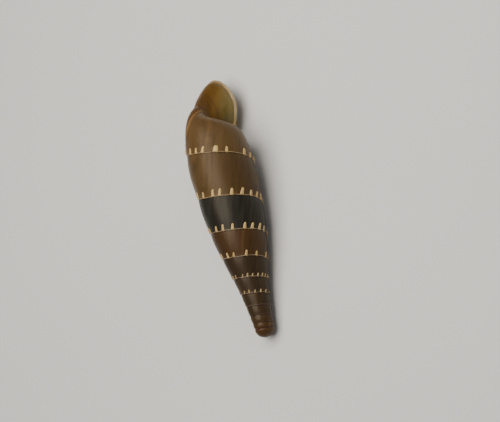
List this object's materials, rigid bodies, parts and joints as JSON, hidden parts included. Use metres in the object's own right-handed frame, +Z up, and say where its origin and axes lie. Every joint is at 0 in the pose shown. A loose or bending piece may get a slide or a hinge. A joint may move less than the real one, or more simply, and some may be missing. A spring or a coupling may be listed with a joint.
{
  "type": "papillate door snail",
  "caption": "Life-size resting door snail: a slender left-coiled shell with white papillae along its sutures, laid over a small drawn-in animal.",
  "frame": {"origin": "on the ground, under the middle of the whole animal's box", "axes": "+X is the way the head and the opening's front look, +Y is the animal's left, +Z is up"},
  "size_m": [0.0142, 0.0034, 0.0037],
  "materials": {
    "shell_apex_horn": "glossy reddish amber horn, slightly see-through",
    "shell_dark": "silky dark brown with fine growth lines",
    "shell_brown": "silky horn brown with fine growth lines",
    "lip_white": "smooth cream white, thickened edge",
    "flesh_pale": "moist, finely grained, pale yellowish grey",
    "mantle_cream": "moist, smooth, pale cream",
    "flesh_grey": "moist, finely grained, brownish grey",
    "eye_black": "glossy black"
  },
  "bodies": {
    "root": {"shell_apex": "shell_apex_horn", "shell_spire_whorl_1": "shell_dark", "shell_spire_whorl_2": "shell_dark", "shell_spire_whorl_3": "shell_dark", "shell_spire_whorl_4": "shell_dark", "shell_penultimate_whorl": "shell_brown", "shell_body_whorl": "shell_brown", "shell_neck": "shell_brown", "shell_lip": "lip_white", "mantle_collar": "mantle_cream", "neck": "flesh_grey", "head": "flesh_grey", "feeler_upper_left": "flesh_grey", "feeler_upper_right": "flesh_grey", "feeler_lower_left": "flesh_grey", "feeler_lower_right": "flesh_grey", "eye_left": "eye_black", "eye_right": "eye_black", "foot": "flesh_pale", "tail": "flesh_grey"}
  },
  "joints": []
}
